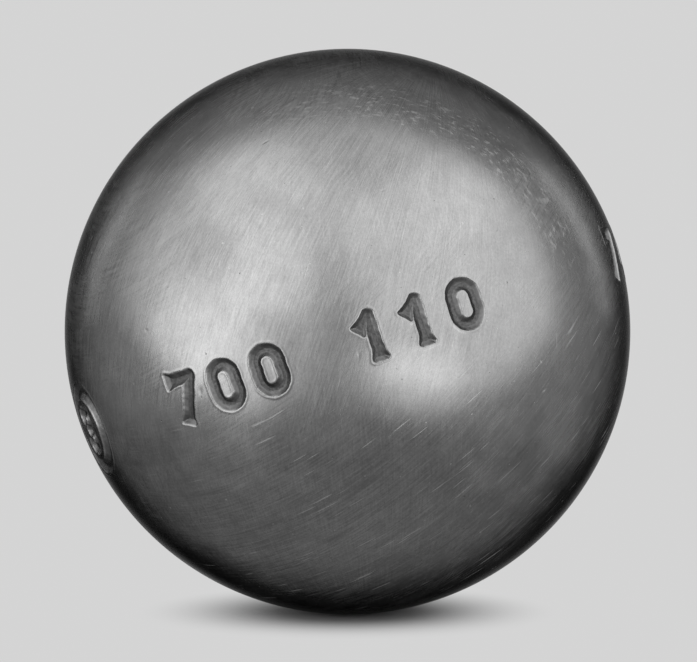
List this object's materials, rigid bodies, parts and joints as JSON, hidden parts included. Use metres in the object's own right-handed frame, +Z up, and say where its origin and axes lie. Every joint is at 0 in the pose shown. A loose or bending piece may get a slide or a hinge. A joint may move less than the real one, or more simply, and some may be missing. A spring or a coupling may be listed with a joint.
{
  "type": "petanque boule",
  "caption": "Hollow ground steel ball with a brushed surface and a row of punched numerals, for throwing in the game of petanque.",
  "frame": {"origin": "centre of the ball", "axes": "+Z up as the ball lies on the ground, -Y towards the long row of numerals, +X to the right when the row is seen from the front"},
  "size_m": [0.074, 0.074, 0.074],
  "materials": {
    "shell_steel": "dark carbon steel, brushed with fine crossing lines, satin",
    "weld_steel": "weld metal ground flush and brushed like the shells"
  },
  "bodies": {
    "root": {"front_half_shell": "shell_steel", "rear_half_shell": "shell_steel", "weld_bead": "weld_steel"}
  },
  "joints": []
}
